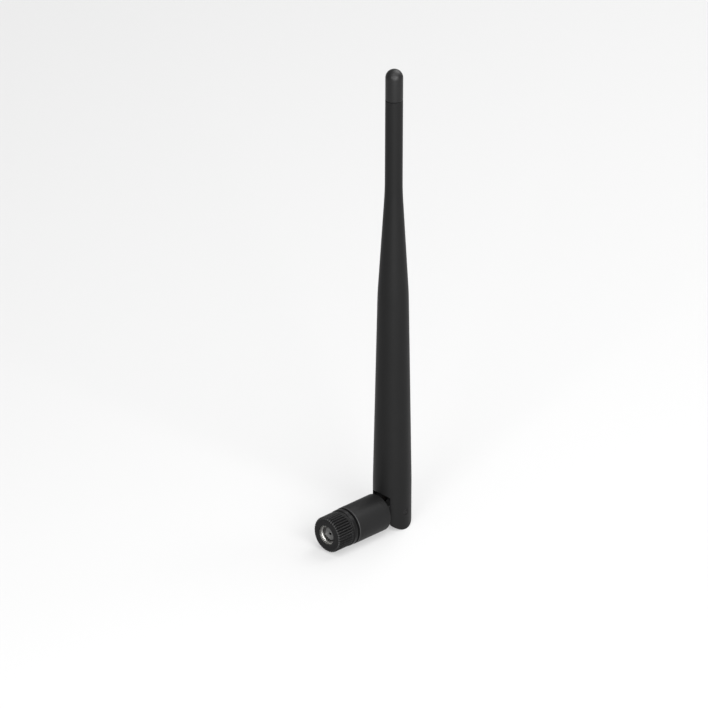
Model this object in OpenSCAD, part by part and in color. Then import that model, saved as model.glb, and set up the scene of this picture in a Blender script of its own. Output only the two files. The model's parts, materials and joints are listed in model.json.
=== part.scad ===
// Omnidirectional whip antenna with a tilt hinge, a swivelling elbow and a reverse-polarity
// threaded coaxial plug, taken apart into its real pieces.
//
// Frame: the origin is the centre of the plug's mating plane, which is the tip of its sleeve.
// -Y points into the socket that the plug screws on to, X is the tilt hinge's direction,
// and the blade stands up +Z, bent 90 degrees from the plug. All sizes are in millimetres.

/* [Blade] */
// Height of the blade's top above the tilt hinge
top_h = 163.9; // [160:0.1:170]
// Diameter of the blade's foot
foot_d = 13; // [12.9:0.1:13.4]
// Height above the hinge where the foot starts to taper
foot_h = 11; // [10:0.5:14]
// Diameter of the waist, where the slow taper ends
waist_d = 10.5; // [10:0.1:11]
// Height of the waist above the hinge
waist_h = 80.3; // [76:0.1:86]
// Diameter of the slender tip
tip_d = 6; // [5.9:0.1:6.6]
// Height where the slender tip begins
tip_h = 118.7; // [114:0.1:124]
// Height of the seam between radome and tip cap
seam_h = 152.7; // [152:0.1:155]
// Wall of the radome
wall = 0.95; // [0.9:0.05:1]

/* [Tilt hinge] */
// Distance from the plug's mating plane to the hinge axis
hinge_y = 29.25; // [29:0.05:30]
// Width of the slot between the blade's two ears
slot_w = 8.3; // [8.2:0.05:8.5]
// Radius of the arch that tops the slot
arch_r = 7.2; // [7:0.1:8]
// Distance from the hinge axis to the web behind the tongue
web_in = 4.2; // [4.2:0.05:4.4]
// Side play between the tongue and each ear
tongue_play = 0.17; // [0.15:0.01:0.2]
// Diameter of the two hinge pins
pin_d = 2.4; // [2:0.1:2.6]
// Running clearance round a hinge pin in the tongue
pin_play = 0.05; // [0.02:0.01:0.1]

/* [Elbow] */
// Diameter of the elbow's barrel
barrel_d = 13; // [12.8:0.1:13.2]
// Distance from the hinge axis to the barrel's hinge end
barrel_back = 6.86; // [6.8:0.02:7.2]
// Distance from the hinge axis to the barrel's plug end
barrel_front = 21.5; // [21.4:0.05:21.6]
// Radius of the tongue's rounded end
tongue_r = 5.5; // [5.2:0.1:5.6]
// Height over the hinge of the neck between the barrel and the tongue's rounded end
tongue_neck = 3.2; // [3:0.1:3.6]

/* [Coupling nut] */
// Diameter over the knurl's ridges
grip_d = 12.5; // [12.4:0.1:12.8]
// Diameter of the nut's plain rear flange
flange_d = 12.8; // [12.6:0.1:13]
// Distance of the nut's mouth ahead of the mating plane
mouth = 1.85; // [1.8:0.05:2]
// Diameter of the mouth that clears the socket's thread
mouth_d = 6.76; // [6.6:0.02:6.9]
// Depth of the mouth before the thread
mouth_depth = 1.35; // [1.3:0.05:1.4]
// Number of ridges in the knurl
ridges = 40; // [32:1:44]
// Minor diameter of the 1/4-36 coupling thread
thread_minor_d = 5.66; // [5.65:0.01:5.7]

/* [Plug] */
// Outer diameter of the plug's sleeve
sleeve_d = 4.57; // [4.55:0.01:4.6]
// Diameter of the insulator inside the sleeve
insulator_d = 4.1; // [4.05:0.01:4.12]
// Outer diameter of the socket contact
contact_d = 1.27; // [1.2:0.01:1.3]
// Diameter of the hole for the mating pin
socket_d = 0.95; // [0.93:0.01:0.98]
// Running clearance between the turning pieces, on the radius
swivel_play = 0.05; // [0.03:0.01:0.08]

/* [Cable and radiator] */
// Diameter over the coaxial cable's jacket
jacket_d = 1.8; // [1.7:0.1:1.9]
// Centreline radius of the cable's bend at the hinge
bend_r = 4.5; // [4.2:0.1:4.7]
// Diameter of the radiator's rods
rod_d = 1.2; // [1:0.1:1.3]
// Number of turns in the phasing coil
coil_turns = 5; // [3:1:6]

/* [Hidden] */
$fn = 96;

black = "#2b2b2d";
nickel = "#b9bbbd";
brass = "#c8a24e";
copper = "#b8734a";
cut = 1;                           // how far a cutting shape runs past the solid it cuts

// Hinge
slot_half = slot_w / 2;
tongue_half = slot_half - tongue_play;
tongue_back = web_in - 0.2;        // the tongue's flat end, which meets the web as a stop
washer_seat = 0.45;
washer_t = 0.52;
washer_r = [pin_d / 2 + 0.15, 2.5];
seat_play = 0.1;                   // room round a washer in its seat
pin_in = 2.2;
pin_out = foot_d / 2 - 0.12;
foot_round = foot_d / 2 + 0.05;    // radius of the foot's rounded end, just over the foot's own

// Cable channel through the tongue
channel_half = jacket_d / 2 + 0.4;
channel_floor = -1.2;

// Radome
cavity_floor = arch_r + 2;
cavity_foot_r = foot_d / 2 - wall - 0.25;
seam_bevel = 0.15;
seam_h_bevel = 0.3;                // height of the bevel on each side of the seam
seam_gap = 0.02;
spigot = 3.7;
spigot_r = tip_d / 2 - wall - 0.01;

// Elbow, measured along Y from the mating plane
barrel_from = hinge_y - barrel_front;
barrel_to = hinge_y - barrel_back;
rim_bevel = 0.35;
mouth_bore_r = 4.5;                // the barrel's front bore, which clears the plug's collar
face_gap = 0.25;                   // from the collar to the bottom of that bore
bead_play = 0.1;
cable_bore_r = 2.2;
cable_bore = [15.7, 19.5];
channel_from = 20.4;

// Plug, measured along Y from the mating plane
inner_gap = 0.02;                  // gap between pieces that only just clear each other
gasket_seat = 2.75;
gasket_seat_r = 2.5;
gasket_r = 3.05;
shoulder = 3.35;
ring_groove_r = 2.35;
ring_r = [2.4, 3.25];
ring_split = 1.2;
insulator_end = 6;
contact_tail_r = 0.45;
contact_end = 8;
socket_depth = 3.2;
ring_groove = [5.05, 5.55];
collar = [6.9, 8.3];
collar_r = 4.2;
tail_end = 14;
tail_r = 3.5;
bead_groove = [9.6, 10.6];
bead_groove_r = 3.05;
bead_r = bead_groove_r + 0.07;
seal_groove = [11.6, 12.7];
seal_groove_r = 2.7;
seal_wire_r = 0.38;
stem_end = 17;
stem_r = 1.25;
stem_bore_r = 0.95;
neck_r = 2.85;
neck_bore_r = neck_r + 0.08;
bore_r = tail_r + swivel_play;

// Nut, measured along Y from the mating plane
insert_from = -mouth + 0.25;
insert_to = 6.6;
insert_r = 4.7;
nut_back = barrel_from - 0.75;
thread_to = 2.5;
relief_to = 4.3;
relief_r = 3.25;
snap_groove = [4.98, 5.62];
snap_groove_r = 3.35;
nose_r = 5.2;                      // radius of the flat face round the mouth
rim_r = grip_d / 2 - 0.25;
neck_ring_r = grip_d / 2 - 0.2;
groove_r = 0.36;                   // radius of the round grooves between the ridges
groove_out = 0.04;                 // how far outside the ridges those grooves are centred
flange_bevel = 0.15;
grip_from = -mouth + 0.4;
grip_to = -mouth + 6.3;
flange_from = -mouth + 7.3;

// Cable
jacket_r = jacket_d / 2;
braid_r = 0.65;
dielectric_r = 0.42;
core_r = 0.15;
ferrule_from = 14.2;
ferrule_to = 18.6;
ferrule_r = [1.27, 1.7];
ferrule_step = stem_end + 0.1;
cable_lower_from = 17.05;
layer_gap = 0.05;                  // gap between the cable's stretches
hole_play = 0.1;

// Radiator, as heights above the hinge
blade_cable = bend_r + layer_gap;  // where the blade's stretch of cable begins
jacket_top = 52;
choke = [29.5, 60];
braid_top = 59.3;
dielectric_top = 61;
core_top = 63;
choke_r = [1.6, 1.9];
choke_lid = 0.7;
liner_in = 1;                      // how far the liner stops short of each end
lower_rod = [61.2, 92];
coil = [92, 104];
upper_rod = [104, 150.6];
rod_socket = 0.3;                  // room over the upper rod's end in the cap's spigot
coil_r = 1.35;
coil_wire_r = 0.3;
former_r = 0.95;
former = [94.6, 101.4];
shrink = [60.1, 68];
shrink_r = [rod_d / 2 + 0.1, rod_d / 2 + 0.4];
foam_lower = [16, 24];
foam_lower_r = 5;
foam_upper = [74, 82];
foam_upper_r = 3.9;

// A point list's solid of revolution about the Y axis, from [radius, y] points
module turned(points) {
    rotate([-90, 0, 0]) rotate_extrude() polygon(points);
}

// A ring about the Y axis
module ring_y(inner, outer, from, to) {
    turned([[inner, from], [outer, from], [outer, to], [inner, to]]);
}

// A ring about the blade's own axis
module ring_z(inner, outer, from, to) {
    translate([0, hinge_y, 0])
        rotate_extrude() polygon([[inner, from], [outer, from], [outer, to], [inner, to]]);
}

// A round bar about the blade's own axis
module bar_z(radius, from, to) {
    translate([0, hinge_y, from]) cylinder(r = radius, h = to - from);
}

// A round bar along the hinge axis
module bar_x(radius, from, to) {
    translate([from, hinge_y, 0]) rotate([0, 90, 0]) cylinder(r = radius, h = to - from);
}

// An outline in the Y-Z plane at the hinge, made this far to each side
module slab_x(half) {
    translate([-half, hinge_y, 0]) rotate([90, 0, 90]) linear_extrude(2 * half) children();
}

// ---- plug ----

module plug_body() color(nickel) difference() {
    turned([
        [0, 0], [sleeve_d / 2, 0], [sleeve_d / 2, gasket_seat], [gasket_seat_r, gasket_seat],
        [gasket_seat_r, shoulder], [neck_r, shoulder],
        [neck_r, ring_groove[0]], [ring_groove_r, ring_groove[0]],
        [ring_groove_r, ring_groove[1]], [neck_r, ring_groove[1]],
        [neck_r, collar[0]], [collar_r, collar[0]], [collar_r, collar[1]], [tail_r, collar[1]],
        [tail_r, bead_groove[0]], [bead_groove_r, bead_groove[0]],
        [bead_groove_r, bead_groove[1]], [tail_r, bead_groove[1]],
        [tail_r, seal_groove[0]], [seal_groove_r, seal_groove[0]],
        [seal_groove_r, seal_groove[1]], [tail_r, seal_groove[1]],
        [tail_r, tail_end], [stem_r, tail_end], [stem_r, stem_end], [0, stem_end]
    ]);
    turned([[0, -cut], [insulator_d / 2, -cut],
            [insulator_d / 2, insulator_end], [0, insulator_end]]);
    turned([[0, insulator_end - cut], [stem_bore_r, insulator_end - cut],
            [stem_bore_r, stem_end + cut], [0, stem_end + cut]]);
}

module plug_insulator() color("ghostwhite")
    ring_y(contact_d / 2, insulator_d / 2, inner_gap, insulator_end);

module socket_contact() color(brass) difference() {
    turned([[0, inner_gap], [contact_d / 2, inner_gap], [contact_d / 2, insulator_end],
            [contact_tail_r, insulator_end], [contact_tail_r, contact_end], [0, contact_end]]);
    turned([[0, -cut], [socket_d / 2, -cut], [socket_d / 2, socket_depth],
            [0, socket_depth + socket_d / 4]]);
}

module sealing_gasket() color("#7a2f2a")
    ring_y(gasket_seat_r + inner_gap, gasket_r, gasket_seat + inner_gap, shoulder);

// A split ring: its gap lets it close into the body's groove while the nut slides over it
module nut_snap_ring() color("silver") difference() {
    ring_y(ring_r[0], ring_r[1], ring_groove[0] + 2 * inner_gap, ring_groove[1] - 2 * inner_gap);
    translate([-ring_split / 2, 0, 0]) cube([ring_split, 10, 10]);
}

module swivel_o_ring() color("#1c1c1c") rotate([-90, 0, 0])
    translate([0, 0, (seal_groove[0] + seal_groove[1]) / 2])
        rotate_extrude()
            translate([seal_groove_r + seal_wire_r + inner_gap, 0])
                circle(r = seal_wire_r, $fn = 24);

module crimp_ferrule() color(brass) turned([
    [ferrule_r[0], ferrule_from], [ferrule_r[1], ferrule_from], [ferrule_r[1], ferrule_to],
    [jacket_r + inner_gap, ferrule_to], [jacket_r + inner_gap, ferrule_step],
    [ferrule_r[0], ferrule_step]
]);

module coax_lower() color("#8a5a3a")
    turned([[0, cable_lower_from], [jacket_r, cable_lower_from],
            [jacket_r, hinge_y - bend_r - layer_gap], [0, hinge_y - bend_r - layer_gap]]);

// ---- coupling nut ----

module coupling_nut() color(nickel) turned([
    [mouth_d / 2, insert_from], [insert_r, insert_from], [insert_r, insert_to],
    [neck_bore_r, insert_to], [neck_bore_r, snap_groove[1]],
    [snap_groove_r, snap_groove[1]], [snap_groove_r, snap_groove[0]],
    [neck_bore_r, snap_groove[0]], [neck_bore_r, relief_to],
    [relief_r, relief_to], [relief_r, thread_to],
    [thread_minor_d / 2, thread_to], [thread_minor_d / 2, mouth_depth - mouth],
    [mouth_d / 2, mouth_depth - mouth]
]);

// Outline of the knurl: a disc with a round groove between each pair of ridges
module knurl_outline() {
    difference() {
        circle(d = grip_d);
        for (i = [0 : ridges - 1])
            rotate((i + 0.5) * 360 / ridges)
                translate([grip_d / 2 + groove_out, 0]) circle(r = groove_r, $fn = 16);
    }
}

// Plastic grip: bevelled nose, straight knurl, a neck and a plain rear flange
module knurled_sleeve() color(black) difference() {
    union() {
        turned([[0, -mouth], [nose_r, -mouth], [rim_r, grip_from], [0, grip_from]]);
        translate([0, grip_from, 0]) rotate([-90, 0, 0])
            linear_extrude(grip_to - grip_from) knurl_outline();
        turned([
            [0, grip_to], [neck_ring_r, grip_to], [neck_ring_r, flange_from],
            [flange_d / 2 - flange_bevel, flange_from],
            [flange_d / 2, flange_from + flange_bevel],
            [flange_d / 2, nut_back - flange_bevel],
            [flange_d / 2 - flange_bevel, nut_back], [0, nut_back]
        ]);
    }
    turned([[0, -mouth - cut], [mouth_d / 2, -mouth - cut],
            [mouth_d / 2, insert_from], [insert_r, insert_from],
            [insert_r, nut_back + cut], [0, nut_back + cut]]);
}

// ---- elbow ----

// Side outline of the tongue: open towards the barrel, with a flat end that meets the
// blade's web when the blade is bent 90 degrees, and a flat underside when it is straight
module tongue_outline() {
    difference() {
        union() {
            circle(r = tongue_r);
            translate([-barrel_back - cut, -tongue_back])
                square([barrel_back + cut, tongue_back + tongue_neck]);
        }
        translate([tongue_back, -10]) square([10, 20]);
        translate([-10, -10 - tongue_back]) square([20, 10]);
        difference() {
            translate([0, -10]) square([10, 10]);
            circle(r = tongue_back);
        }
    }
}

module elbow_barrel() color(black) difference() {
    union() {
        turned([
            [0, barrel_from], [barrel_d / 2 - rim_bevel, barrel_from],
            [barrel_d / 2, barrel_from + rim_bevel],
            [barrel_d / 2, barrel_to - rim_bevel], [barrel_d / 2 - rim_bevel, barrel_to],
            [0, barrel_to]
        ]);
        intersection() {
            slab_x(tongue_half) tongue_outline();
            turned([[0, barrel_to - cut], [barrel_d / 2 - 0.1, barrel_to - cut],
                    [barrel_d / 2 - 0.1, hinge_y + 10], [0, hinge_y + 10]]);
        }
    }
    // bore for the plug's tail, with the bead that snaps into its groove
    turned([
        [0, barrel_from - cut], [mouth_bore_r, barrel_from - cut],
        [mouth_bore_r, collar[1] + face_gap], [bore_r, collar[1] + face_gap],
        [bore_r, bead_groove[0] + bead_play], [bead_r, bead_groove[0] + bead_play],
        [bead_r, bead_groove[1] - bead_play], [bore_r, bead_groove[1] - bead_play],
        [bore_r, tail_end + 0.4], [cable_bore_r, cable_bore[0]], [cable_bore_r, cable_bore[1]],
        [channel_half, channel_from], [channel_half, barrel_to + cut], [0, barrel_to + cut]
    ]);
    // channel that lets the cable follow the blade
    slab_x(channel_half) translate([-barrel_back, channel_floor]) square([20, 20]);
    bar_x(pin_d / 2 + pin_play, -20, 20);
    for (side = [-1, 1])
        translate([side * (tongue_half - washer_seat + cut), 0, 0])
            bar_x(washer_r[1] + seat_play, -cut, cut);
}

module friction_washer(side) color("silver")
    translate([side * (tongue_half - washer_seat + washer_t / 2), hinge_y, 0])
        rotate([0, 90, 0]) difference() {
            cylinder(r = washer_r[1], h = washer_t, center = true);
            cylinder(r = washer_r[0], h = washer_t + cut, center = true);
        }

module friction_washer_left() friction_washer(-1);

module friction_washer_right() friction_washer(1);

// The quarter turn that the cable makes at the hinge
module coax_hinge_bend() color("#8a5a3a")
    translate([0, hinge_y - bend_r, bend_r]) rotate([90, 0, 90]) rotate([0, 0, -90])
        rotate_extrude(angle = 90) translate([bend_r, 0]) circle(r = jacket_r, $fn = 32);

// ---- blade ----

module radome() color(black) difference() {
    intersection() {
        translate([0, hinge_y, 0]) rotate_extrude() polygon([
            [0, -foot_d / 2], [foot_d / 2, -foot_d / 2], [foot_d / 2, foot_h],
            [waist_d / 2, waist_h], [tip_d / 2, tip_h],
            [tip_d / 2, seam_h - seam_h_bevel], [tip_d / 2 - seam_bevel, seam_h], [0, seam_h]
        ]);
        slab_x(foot_d) {
            translate([0, foot_round - foot_d / 2]) circle(r = foot_round);
            translate([-foot_d, foot_round - foot_d / 2]) square([2 * foot_d, top_h]);
        }
    }
    translate([0, hinge_y + web_in, 0]) rotate([90, 0, 0]) linear_extrude(web_in + foot_d) {
        intersection() {
            circle(r = arch_r);
            translate([-slot_half, -arch_r]) square([slot_w, 2 * arch_r]);
        }
        translate([-slot_half, -foot_d]) square([slot_w, foot_d]);
    }
    translate([0, hinge_y, 0]) rotate_extrude() polygon([
        [0, cavity_floor], [cavity_foot_r, cavity_floor], [cavity_foot_r, foot_h],
        [waist_d / 2 - wall - 0.1, waist_h], [tip_d / 2 - wall, tip_h],
        [tip_d / 2 - wall, seam_h + cut], [0, seam_h + cut]
    ]);
    bar_z(jacket_r + hole_play, 0, cavity_floor + cut);
    bar_x(pin_d / 2, -foot_d, foot_d);
}

module tip_cap() color(black) difference() {
    translate([0, hinge_y, 0]) rotate_extrude() {
        intersection() {
            translate([0, top_h - tip_d / 2]) circle(r = tip_d / 2);
            translate([0, top_h - tip_d / 2]) square([tip_d, tip_d]);
        }
        polygon([
            [0, seam_h - spigot], [spigot_r, seam_h - spigot], [spigot_r, seam_h + seam_gap],
            [tip_d / 2 - seam_bevel, seam_h + seam_gap], [tip_d / 2, seam_h + seam_h_bevel],
            [tip_d / 2, top_h - tip_d / 2], [0, top_h - tip_d / 2]
        ]);
    }
    bar_z(rod_d / 2 + layer_gap, seam_h - spigot - cut, upper_rod[1] + rod_socket);
}

module hinge_pin_left() color(black) bar_x(pin_d / 2, -pin_out, -pin_in);

module hinge_pin_right() color(black) bar_x(pin_d / 2, pin_in, pin_out);

module coax_jacket() color("#8a5a3a") ring_z(braid_r, jacket_r, blade_cable, jacket_top);

module coax_braid() color("silver") ring_z(dielectric_r, braid_r, blade_cable, braid_top);

module coax_dielectric() color("ghostwhite")
    ring_z(core_r, dielectric_r, blade_cable, dielectric_top);

module coax_core() color(copper) bar_z(core_r, blade_cable, core_top);

// Quarter-wave choke: an open-bottomed tube whose closed top is soldered to the braid
module choke_sleeve() color(brass) translate([0, hinge_y, 0]) rotate_extrude() polygon([
    [choke_r[0], choke[0]], [choke_r[1], choke[0]], [choke_r[1], choke[1]],
    [braid_r, choke[1]], [braid_r, choke[1] - choke_lid], [choke_r[0], choke[1] - choke_lid]
]);

module choke_liner() color("ghostwhite")
    ring_z(jacket_r + inner_gap, choke_r[0] - inner_gap, choke[0] + liner_in,
           jacket_top - liner_in);

module lower_radiator() color(copper) difference() {
    bar_z(rod_d / 2, lower_rod[0], lower_rod[1]);
    bar_z(core_r, lower_rod[0] - cut, core_top);
}

module feed_heat_shrink() color("#222222")
    ring_z(shrink_r[0], shrink_r[1], shrink[0], shrink[1]);

// Centreline of the phasing coil: out from the axis, round the turns and back to the axis
coil_steps = 20 * coil_turns;
function coil_reach(t) = coil_r * min(1, 5 * t, 5 * (1 - t));
function coil_point(i) =
    let (t = i / coil_steps, a = 360 * coil_turns * t)
    [coil_reach(t) * cos(a), coil_reach(t) * sin(a), coil[0] + (coil[1] - coil[0]) * t];
function unit(v) = v / norm(v);
function coil_heading(i) = unit(coil_point(min(i + 1, coil_steps)) - coil_point(max(i - 1, 0)));
function coil_ring(i) =
    let (p = coil_point(i), d = coil_heading(i), u = unit(cross(d, [0, 0, 1])), v = cross(d, u))
    [for (k = [0 : 7]) p + coil_wire_r * (cos(45 * k) * u + sin(45 * k) * v)];

module phasing_coil() color(copper) translate([0, hinge_y, 0]) polyhedron(
    points = [for (i = [0 : coil_steps]) each coil_ring(i)],
    faces = [
        [for (k = [7 : -1 : 0]) k],
        for (i = [0 : coil_steps - 1], k = [0 : 7]) each [
            [8 * i + k, 8 * i + (k + 1) % 8, 8 * (i + 1) + k],
            [8 * (i + 1) + k, 8 * i + (k + 1) % 8, 8 * (i + 1) + (k + 1) % 8]
        ],
        [for (k = [0 : 7]) 8 * coil_steps + k]
    ]
);

module coil_former() color("ghostwhite") bar_z(former_r, former[0], former[1]);

module upper_radiator() color(copper) bar_z(rod_d / 2, upper_rod[0], upper_rod[1]);

module foam_collar_lower() color("dimgray")
    ring_z(jacket_r + layer_gap, foam_lower_r, foam_lower[0], foam_lower[1]);

module foam_collar_upper() color("dimgray")
    ring_z(rod_d / 2 + inner_gap, foam_upper_r, foam_upper[0], foam_upper[1]);

plug_body();
plug_insulator();
socket_contact();
sealing_gasket();
nut_snap_ring();
swivel_o_ring();
crimp_ferrule();
coax_lower();
coupling_nut();
knurled_sleeve();
elbow_barrel();
friction_washer_left();
friction_washer_right();
coax_hinge_bend();
radome();
tip_cap();
hinge_pin_left();
hinge_pin_right();
coax_jacket();
coax_braid();
coax_dielectric();
coax_core();
choke_sleeve();
choke_liner();
lower_radiator();
feed_heat_shrink();
phasing_coil();
coil_former();
upper_radiator();
foam_collar_lower();
foam_collar_upper();
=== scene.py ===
import json
import math

import bmesh
import bpy
from bpy.props import FloatProperty, FloatVectorProperty, IntProperty, PointerProperty
from mathutils import Matrix, Vector


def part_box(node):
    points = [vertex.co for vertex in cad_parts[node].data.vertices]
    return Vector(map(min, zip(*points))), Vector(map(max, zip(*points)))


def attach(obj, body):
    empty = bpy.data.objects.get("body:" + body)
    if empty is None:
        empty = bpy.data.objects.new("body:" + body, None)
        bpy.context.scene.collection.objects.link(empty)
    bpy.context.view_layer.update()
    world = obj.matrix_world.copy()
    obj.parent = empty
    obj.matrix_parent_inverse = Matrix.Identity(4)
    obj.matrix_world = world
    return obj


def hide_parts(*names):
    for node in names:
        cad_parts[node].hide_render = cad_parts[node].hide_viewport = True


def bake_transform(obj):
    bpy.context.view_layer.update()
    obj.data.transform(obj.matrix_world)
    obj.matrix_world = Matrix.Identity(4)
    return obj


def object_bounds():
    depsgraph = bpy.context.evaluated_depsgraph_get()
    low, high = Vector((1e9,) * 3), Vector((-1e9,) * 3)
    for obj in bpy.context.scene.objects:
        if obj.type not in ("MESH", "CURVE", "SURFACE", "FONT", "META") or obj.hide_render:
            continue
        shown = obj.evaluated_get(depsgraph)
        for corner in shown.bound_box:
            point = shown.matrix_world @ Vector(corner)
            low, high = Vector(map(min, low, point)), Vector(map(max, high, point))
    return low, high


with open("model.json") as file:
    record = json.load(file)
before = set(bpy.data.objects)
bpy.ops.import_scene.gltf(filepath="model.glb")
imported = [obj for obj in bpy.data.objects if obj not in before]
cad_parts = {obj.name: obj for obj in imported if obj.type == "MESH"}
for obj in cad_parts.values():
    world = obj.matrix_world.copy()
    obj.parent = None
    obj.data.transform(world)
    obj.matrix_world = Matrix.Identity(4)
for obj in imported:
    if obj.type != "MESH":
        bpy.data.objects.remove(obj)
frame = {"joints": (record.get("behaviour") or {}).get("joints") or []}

bl_info = {
    "name": "Omnidirectional Antenna",
    "version": (1, 0, 0),
    "blender": (4, 5, 0),
    "location": "View3D > Sidebar > Antenna",
    "description": "Builds a tilting, swivelling whip antenna round its CAD frame",
    "category": "Object",
}

MM = 0.001
CAD_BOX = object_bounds()
FULL_TURN = 2 * math.pi
FINISH = "finish_"      # sets the finishes apart from the CAD nodes' own plain materials
SHARP = math.radians(32)    # faces that meet at more than this are creased
HAIR = 1e-6                 # two lengths this close are the same


def low(node, axis):
    """Lowest coordinate of a CAD node along X, Y or Z."""
    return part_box(node)[0]["XYZ".index(axis)]


def high(node, axis):
    """Highest coordinate of a CAD node along X, Y or Z."""
    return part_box(node)[1]["XYZ".index(axis)]


def span(node, axis):
    """Lowest and highest coordinates of a CAD node along X, Y or Z."""
    return low(node, axis), high(node, axis)


def reach(node, axis):
    """Half the width of a CAD node along an axis."""
    return (high(node, axis) - low(node, axis)) / 2


def joint_place(name):
    """Where a joint's axis passes."""
    return Vector(next(j["pos_m"] for j in frame["joints"] if j["name"] == name))


HINGE = joint_place("blade_tilt")
PLUG_AXIS = Matrix.Rotation(math.radians(-90), 4, "X")
BLADE_AXIS = Matrix.Translation(HINGE)
HINGE_AXIS = Matrix.Translation(HINGE) @ Matrix.Rotation(math.radians(90), 4, "Y")


# ---- settings ----

def length(name, description, default):
    """A length property, whose default is given in millimetres."""
    return FloatProperty(name=name, description=description, default=default * MM, min=0,
                         unit="LENGTH", subtype="DISTANCE", precision=5)


def colour(name, description, default):
    """A colour property."""
    return FloatVectorProperty(name=name, description=description, default=default,
                               size=3, min=0, max=1, subtype="COLOR")


def power(name, description, default):
    """A light's power."""
    return FloatProperty(name=name, description=description, default=default, min=0,
                         unit="POWER")


class BladeSettings(bpy.types.PropertyGroup):
    """Sizes of the radome and its tip cap."""

    foot_height: length("Foot height", "Height of the straight foot over the hinge", 11)
    waist_height: length("Waist height", "Height of the end of the slow taper", 80.3)
    waist_radius: length("Waist radius", "Radius at the waist", 5.25)
    neck_height: length("Neck height", "Height of the slender tip's start", 118.7)
    wall: length("Wall", "Wall of the radome", 0.95)
    waist_extra: length("Extra at the waist", "How much thicker the wall is at the waist", 0.1)
    foot_extra: length("Extra at the foot", "How much thicker the wall is at the foot", 0.25)
    cavity_floor: length("Cavity floor", "Height over the hinge of the hollow's floor", 9.2)
    soften: length("Softening", "Radius between one taper and the next", 140)
    seam_groove: length("Seam groove", "Depth of the fine groove at the tip cap's seam", 0.19)
    slot_half: length("Half slot", "Half the width of the slot between the ears", 4.15)
    arch: length("Arch radius", "Radius of the arch that tops the slot", 7.2)
    web: length("Web", "Distance from the hinge to the web behind the tongue", 4.2)
    edge: length("Edge radius", "Rounding of the ears' edges", 0.16)


class ElbowSettings(bpy.types.PropertyGroup):
    """Sizes of the elbow's barrel and tongue."""

    hinge_end: length("Hinge end", "Distance from the hinge to the barrel's end", 6.86)
    rim: length("Rim radius", "Rounding of the barrel's rims", 0.42)
    front_rim: length("Front rim", "Rounding of the rim next to the nut", 0.28)
    tongue_half: length("Half tongue", "Half the tongue's thickness", 3.98)
    tongue_radius: length("Tongue radius", "Radius of the tongue's rounded end", 5.5)
    tongue_neck: length("Tongue neck", "Height of the neck behind the tongue", 3.2)
    tongue_flat: length("Tongue flat", "Distance from the hinge to the tongue's flat end", 4.0)
    channel_half: length("Half channel", "Half the width of the cable's channel", 1.3)
    channel_floor: length("Channel floor", "Depth of the channel under the hinge", 1.2)
    tail_bore: length("Tail bore", "Radius of the bore round the plug's tail", 3.55)
    bead: length("Bead", "Radius inside the bead that snaps into the plug's tail", 3.12)
    collar_bore: length("Collar bore", "Radius of the bore round the plug's collar", 4.5)
    cable_bore: length("Cable bore", "Radius of the space for the cable", 2.2)
    edge: length("Edge radius", "Rounding of the other edges", 0.12)


class NutSettings(bpy.types.PropertyGroup):
    """Sizes of the coupling nut's grip and thread."""

    ridges: IntProperty(name="Ridges", description="Ridges round the grip", default=40,
                        min=12, max=60)
    groove: length("Groove depth", "Depth of the grooves between the ridges", 0.46)
    pitch: length("Thread pitch", "Pitch of the 36 turns per inch thread", 0.7056)
    minor: length("Minor radius", "Radius over the thread's crests", 2.83)
    major: length("Major radius", "Radius at the thread's roots", 3.175)
    mouth: length("Mouth", "Radius of the opening", 3.38)
    nose: length("Nose", "Radius of the grip's flat face", 5.5)
    ridge_start: length("Ridge start", "Distance from the face to the ridges", 0.4)
    ridge_end: length("Ridge end", "Distance from the face to the ridges' end", 6.75)
    under: length("Step", "How far the ridges lie under the flange", 0.15)
    neck: length("Neck", "Radius inside the insert's neck", 2.93)
    ring_seat: length("Ring seat", "Radius of the snap ring's groove", 3.35)


class PlugSettings(bpy.types.PropertyGroup):
    """Sizes of the plug's turned body. Places are distances behind its mating plane."""

    sleeve: length("Sleeve", "Radius of the sleeve", 2.285)
    hollow: length("Hollow", "Radius of the insulator's bore", 2.05)
    seat: length("Gasket seat", "Radius under the gasket", 2.5)
    seat_start: length("Seat start", "Where the gasket's seat starts", 2.75)
    neck: length("Neck", "Radius of the neck in the nut", 2.85)
    neck_start: length("Neck start", "Where the neck starts", 3.35)
    ring_groove: length("Ring groove", "Radius at the snap ring's groove", 2.35)
    collar_start: length("Collar start", "Where the collar starts", 6.9)
    collar_end: length("Collar end", "Where the collar ends", 8.3)
    tail: length("Tail", "Radius of the tail that the elbow turns on", 3.5)
    tail_end: length("Tail end", "Where the tail ends", 14)
    bead_groove: length("Bead groove", "Radius at the groove for the elbow's bead", 3.05)
    seal_groove: length("Seal groove", "Radius at the groove for the rubber ring", 2.7)
    stem: length("Stem", "Radius of the stem that the cable is crimped on", 1.25)
    stem_bore: length("Stem bore", "Radius of the bore through the stem", 0.95)
    stem_end: length("Stem end", "Where the stem ends", 17)
    contact_hole: length("Contact hole", "Radius of the contact's socket", 0.475)


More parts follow.
